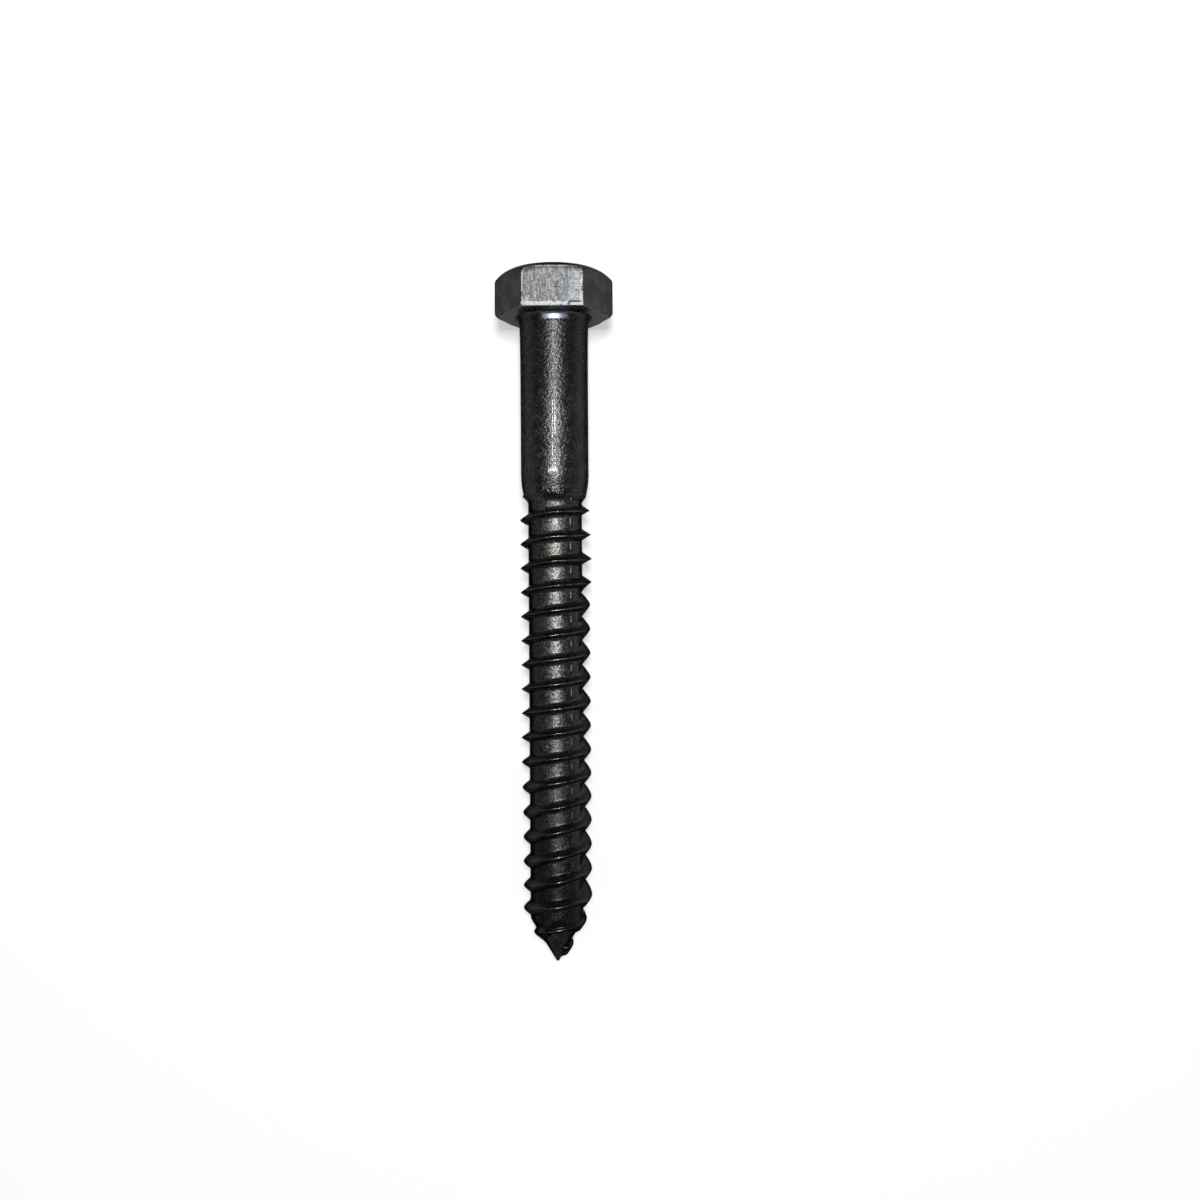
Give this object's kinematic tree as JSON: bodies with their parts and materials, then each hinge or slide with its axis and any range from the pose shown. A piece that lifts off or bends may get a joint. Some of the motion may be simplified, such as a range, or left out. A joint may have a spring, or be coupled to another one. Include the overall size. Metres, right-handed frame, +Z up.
{
  "type": "lag screw",
  "caption": "Hexagon-head lag screw with a plain shank and a coarse right-hand wood thread that runs out over a gimlet point, for pulling a part down onto timber.",
  "frame": {"origin": "centre of the head's bearing face, on the screw's axis", "axes": "+Y along the screw towards its head, falling under 2 degrees to the point as it lies; +Z up, out of the upper flat of the head; +X across the corners of the head"},
  "size_m": [0.0146, 0.0816, 0.0128],
  "materials": {
    "oiled_black_steel": "black oxide, lightly oiled, worn bright along its edges"
  },
  "bodies": {
    "root": {"lag_screw": "oiled_black_steel"}
  },
  "joints": []
}
